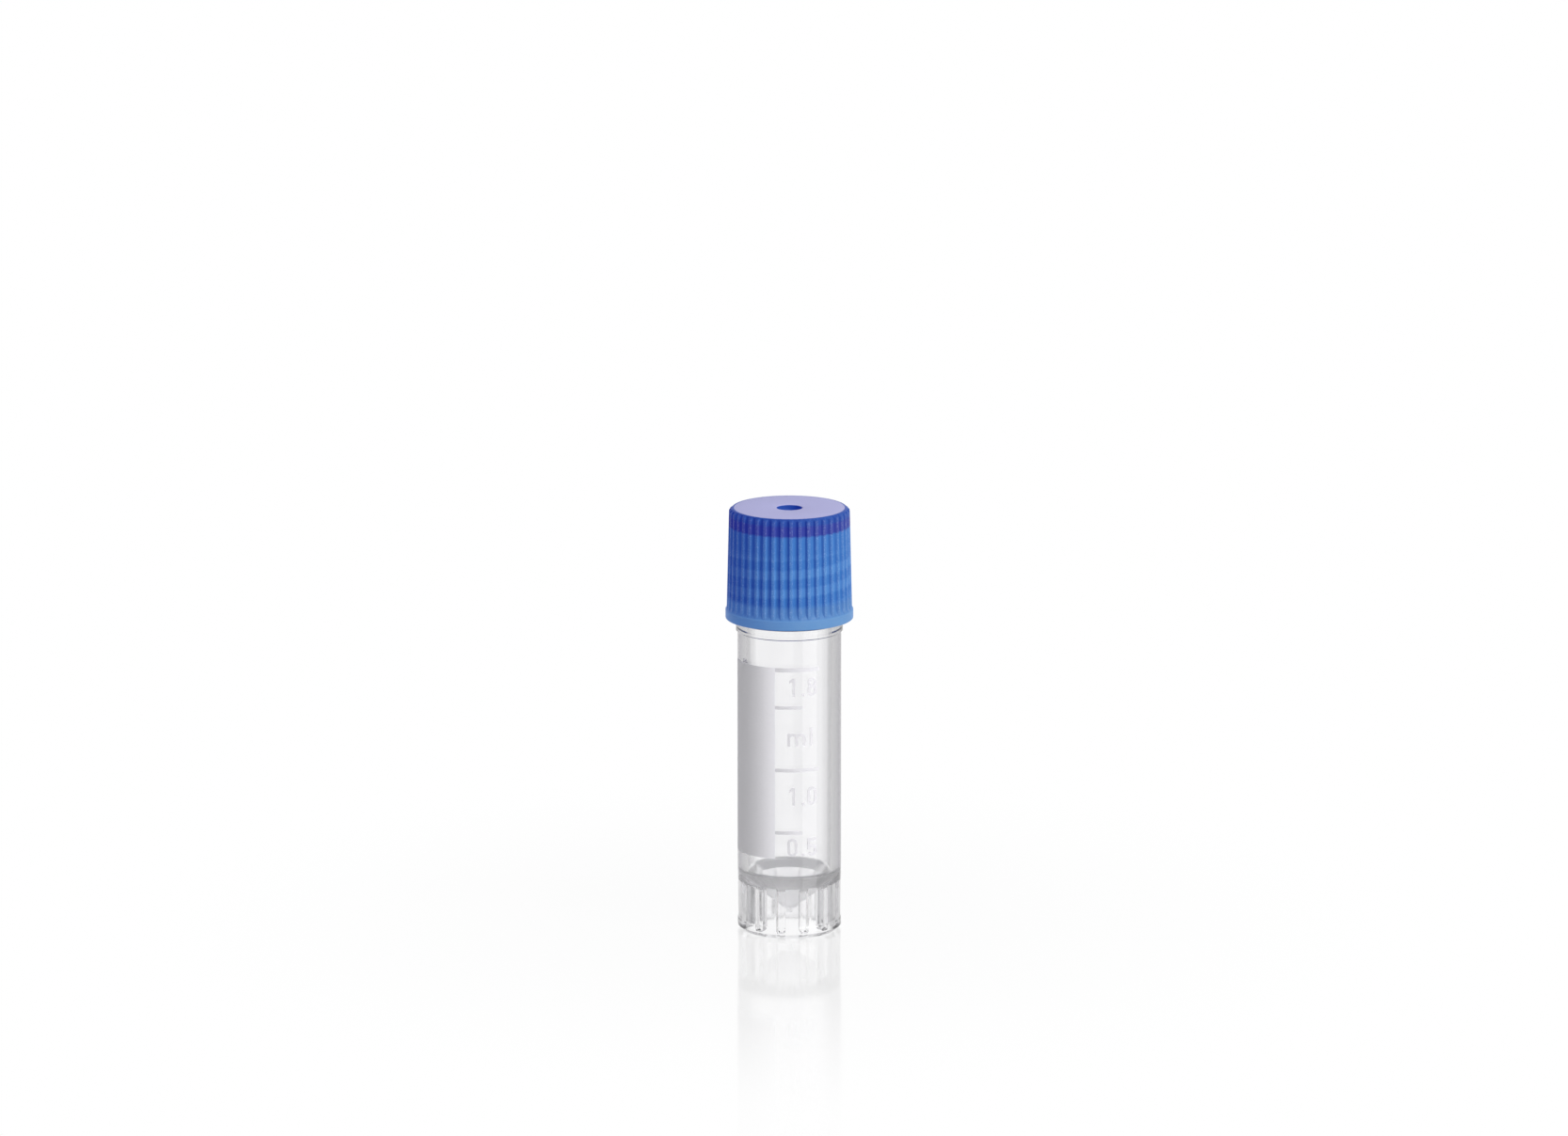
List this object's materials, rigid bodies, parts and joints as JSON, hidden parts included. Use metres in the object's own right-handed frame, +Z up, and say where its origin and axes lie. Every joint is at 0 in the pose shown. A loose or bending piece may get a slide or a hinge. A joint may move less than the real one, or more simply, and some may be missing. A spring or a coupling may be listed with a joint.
{
  "type": "cryovial",
  "caption": "Self-standing clear sample vial with volume marks, a ribbed blue screw cap and a silicone sealing washer.",
  "frame": {"origin": "on the tube's axis, in the plane that the vial stands on", "axes": "+Z up along the tube's axis towards the cap; -Y is the front, where the volume marks are"},
  "size_m": [0.0142, 0.0142, 0.048],
  "materials": {
    "clear_plastic": "clear natural polypropylene, smooth moulded gloss",
    "blue_plastic": "translucent blue polypropylene, fine satin mould grain",
    "silicone": "soft smooth silicone",
    "white_ink": "opaque matt white printing ink"
  },
  "bodies": {
    "tube": {"tube": "clear_plastic", "writing_panel": "white_ink", "graduation_marks": "white_ink"},
    "seal": {"seal_washer": "silicone"},
    "cap": {"cap": "blue_plastic"}
  },
  "joints": [
    {"name": "cap_rise", "type": "slide", "parent": "tube", "child": "seal", "axis": [0, 0, 1], "range_m": [0, 0.0063]},
    {"name": "cap_turn", "type": "hinge", "parent": "seal", "child": "cap", "pos_m": [0, 0, 0.0415], "axis": [0, 0, 1], "range_deg": [0, 1080]}
  ],
  "couplings": [
    {"joint": "cap_turn", "follows": "cap_rise", "rad_per_m": 2992}
  ]
}
